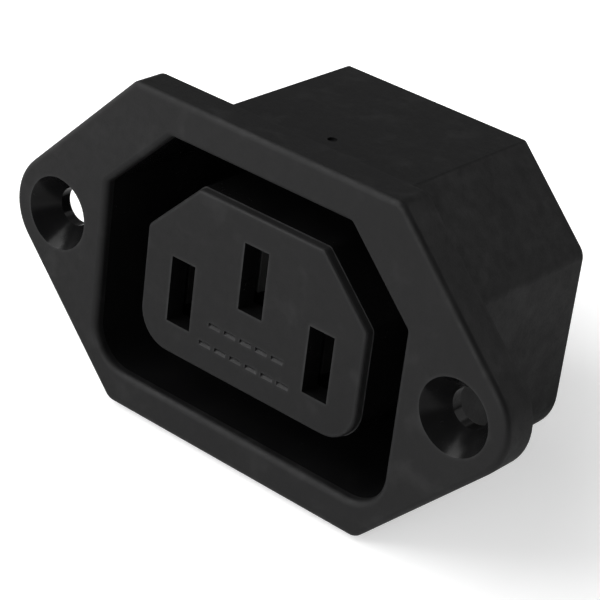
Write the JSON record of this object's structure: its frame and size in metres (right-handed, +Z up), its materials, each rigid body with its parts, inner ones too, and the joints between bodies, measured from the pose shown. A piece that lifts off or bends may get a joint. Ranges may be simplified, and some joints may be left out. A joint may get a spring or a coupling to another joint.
{
  "type": "panel power outlet",
  "caption": "Black screw-mount panel power outlet: diamond flange with countersunk holes, deep recess round a three-slot core, rear plate and folded contacts with blade tabs.",
  "frame": {"origin": "midway between the two screw holes, on the flange's rear face that seats on the panel", "axes": "+X along the flange, -Y out of the mating face, +Y through the panel, +Z up with the earth slot on top"},
  "size_m": [0.0494, 0.029, 0.0278],
  "materials": {
    "housing_plastic": "moulded satin black",
    "plate_plastic": "moulded satin black",
    "contact_metal": "tin-plated brass strip"
  },
  "bodies": {
    "root": {"housing": "housing_plastic", "rear_plate": "plate_plastic", "live_contact": "contact_metal", "neutral_contact": "contact_metal", "earth_contact": "contact_metal"}
  },
  "joints": []
}
